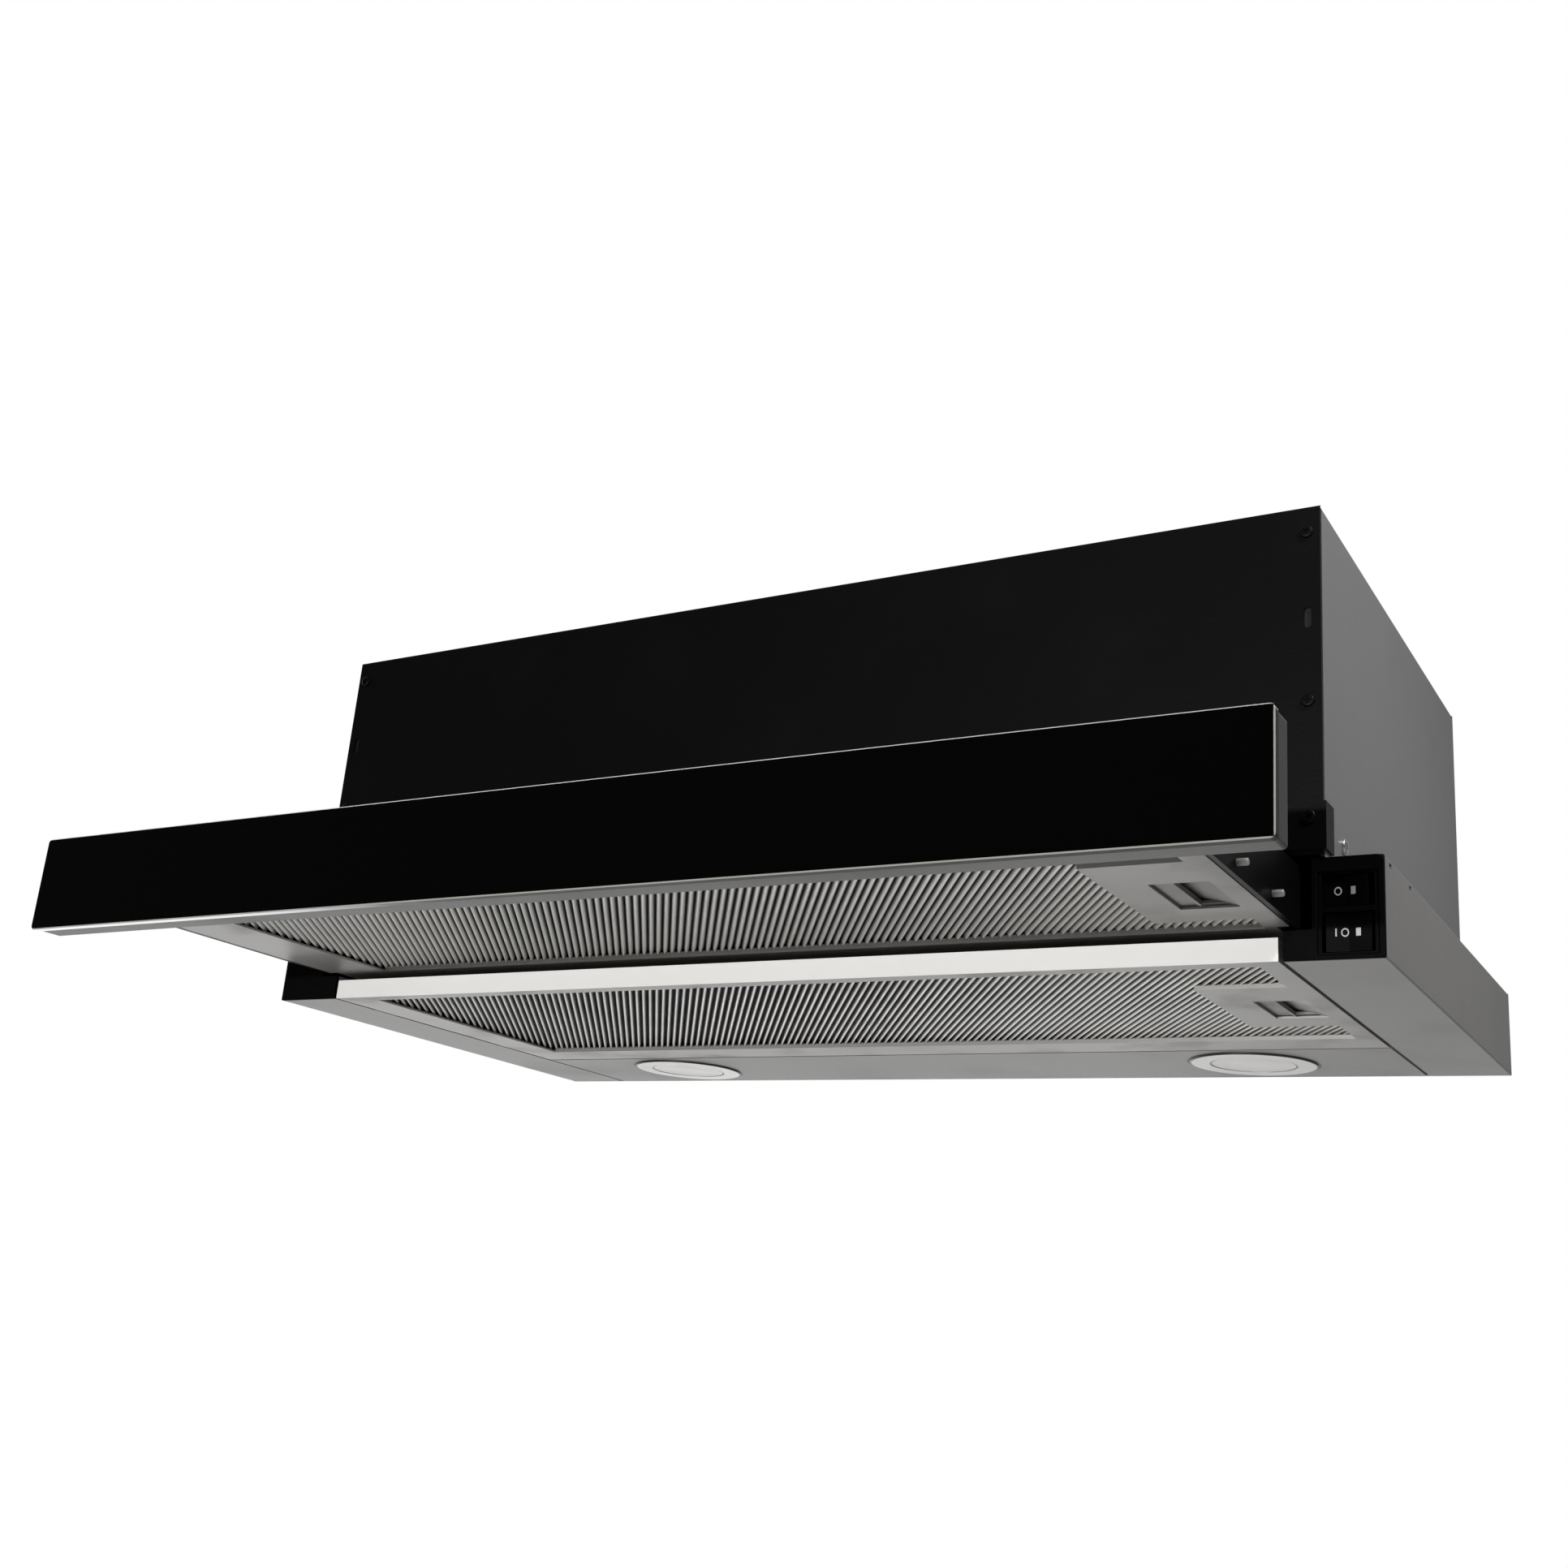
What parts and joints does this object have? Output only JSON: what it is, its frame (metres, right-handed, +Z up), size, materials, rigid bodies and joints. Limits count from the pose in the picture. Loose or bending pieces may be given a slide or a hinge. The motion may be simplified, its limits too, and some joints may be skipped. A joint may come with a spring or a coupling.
{
  "type": "under cabinet range hood",
  "caption": "Telescopic under cabinet range hood: slim grey box with black glass slide-out front, washable grease filters, round lamps, rocker switches and top duct collar.",
  "frame": {"origin": "centre of the four cabinet screw holes, on the top face of the housing and on the duct collar's axis", "axes": "+X along the hood's width to the right as the cook sees it, +Y towards the wall, +Z up out of the top plate"},
  "size_m": [0.6, 0.432, 0.2319],
  "materials": {
    "grey_paint": "satin silver grey paint",
    "zinc_steel": "zinc plated",
    "black_steel": "satin black paint",
    "black_plastic": "fine moulded grain",
    "white_plastic": "moulded",
    "silver_bezel": "satin silver",
    "lamp_lens": "frosted",
    "black_glass": "back-painted tempered glass, polished edges",
    "silver_frame": "satin silver",
    "filter_aluminium": "satin rolled",
    "mesh_aluminium": "expanded and pleated",
    "motor_steel": "zinc plated"
  },
  "bodies": {
    "housing": {"housing_shell": "grey_paint", "housing_back_panel": "zinc_steel", "housing_front_panel": "black_steel", "panel_screws": "black_steel", "side_screws": "zinc_steel", "side_channel_left": "grey_paint", "side_channel_right": "grey_paint", "base_rear_rail": "grey_paint", "end_cap_left": "black_plastic", "end_cap_right": "black_plastic", "switch_block": "black_plastic", "lamp_strip": "grey_paint", "lamp_bezel_left": "silver_bezel", "lamp_bezel_right": "silver_bezel", "lamp_lens_left": "lamp_lens", "lamp_lens_right": "lamp_lens", "led_board_left": "white_plastic", "led_board_right": "white_plastic", "rail_outer_left": "zinc_steel", "rail_outer_right": "zinc_steel", "blower_casing_left": "black_plastic", "blower_casing_right": "black_plastic", "motor": "motor_steel", "motor_bracket": "zinc_steel", "duct_collar": "black_plastic", "flap_pin": "zinc_steel", "collar_screws": "zinc_steel", "cable_gland": "black_plastic", "terminal_box": "black_plastic", "terminal_lid": "black_plastic", "terminal_block": "white_plastic", "capacitor": "white_plastic", "led_driver": "white_plastic", "microswitch": "black_plastic"},
    "carriage": {"front_glass": "black_glass", "front_frame": "silver_frame", "frame_screws": "zinc_steel", "carriage_tray": "black_steel", "carriage_side_left": "black_steel", "carriage_side_right": "black_steel", "rail_inner_left": "zinc_steel", "rail_inner_right": "zinc_steel", "slide_studs": "zinc_steel"},
    "slide_filter": {"slide_filter_frame": "filter_aluminium", "slide_filter_mesh": "mesh_aluminium", "slide_filter_spring": "zinc_steel"},
    "slide_filter_latch": {"slide_filter_latch": "filter_aluminium"},
    "fixed_filter": {"fixed_filter_frame": "filter_aluminium", "fixed_filter_mesh": "mesh_aluminium", "fixed_filter_spring": "zinc_steel"},
    "fixed_filter_latch": {"fixed_filter_latch": "filter_aluminium"},
    "impeller": {"impeller": "black_plastic", "motor_shaft": "zinc_steel"},
    "flap_front": {"flap_front": "black_plastic"},
    "flap_rear": {"flap_rear": "black_plastic"},
    "light_rocker": {"light_rocker": "black_plastic"},
    "fan_rocker": {"fan_rocker": "black_plastic"},
    "microswitch_lever": {"microswitch_lever": "zinc_steel"}
  },
  "joints": [
    {"name": "slide_out", "type": "slide", "parent": "housing", "child": "carriage", "axis": [0, -1, 0], "range_m": [-0.143, 0]},
    {"name": "fixed_filter_tilt", "type": "hinge", "parent": "housing", "child": "fixed_filter", "pos_m": [-0.2554, -0.135, -0.195], "axis": [0, 1, 0], "range_deg": [0, 55]},
    {"name": "slide_filter_tilt", "type": "hinge", "parent": "carriage", "child": "slide_filter", "pos_m": [-0.2494, -0.135, -0.1815], "axis": [0, 1, 0], "range_deg": [0, 55]},
    {"name": "fixed_filter_unlatch", "type": "slide", "parent": "fixed_filter", "child": "fixed_filter_latch", "axis": [-1, 0, 0], "range_m": [0, 0.0055], "stiffness_N_per_m": 400, "springref_m": -0.003, "deforming": ["fixed_filter_spring"]},
    {"name": "slide_filter_unlatch", "type": "slide", "parent": "slide_filter", "child": "slide_filter_latch", "axis": [-1, 0, 0], "range_m": [0, 0.0055], "stiffness_N_per_m": 400, "springref_m": -0.003, "deforming": ["slide_filter_spring"]},
    {"name": "impeller_spin", "type": "hinge", "parent": "housing", "child": "impeller", "pos_m": [0, -0.016, -0.082], "axis": [1, 0, 0], "continuous": true},
    {"name": "flap_front_open", "type": "hinge", "parent": "housing", "child": "flap_front", "pos_m": [0, 0, 0.0155], "axis": [-1, 0, 0], "range_deg": [0, 75]},
    {"name": "flap_rear_open", "type": "hinge", "parent": "housing", "child": "flap_rear", "pos_m": [0, 0, 0.0155], "axis": [1, 0, 0], "range_deg": [0, 75]},
    {"name": "light_switch_rock", "type": "hinge", "parent": "housing", "child": "light_rocker", "pos_m": [0.28215, -0.126, -0.168], "axis": [0, 0, 1], "range_deg": [0, 16]},
    {"name": "fan_switch_rock", "type": "hinge", "parent": "housing", "child": "fan_rocker", "pos_m": [0.28215, -0.126, -0.185], "axis": [0, 0, 1], "range_deg": [-8, 8]},
    {"name": "microswitch_press", "type": "hinge", "parent": "housing", "child": "microswitch_lever", "pos_m": [0.2244, 0.1126, -0.167], "axis": [0, 0, 1], "range_deg": [0, 7], "stiffness_Nm_per_rad": 0.02}
  ],
  "couplings": [
    {"joint": "slide_filter_tilt", "follows": "fixed_filter_tilt", "ratio": 1}
  ]
}
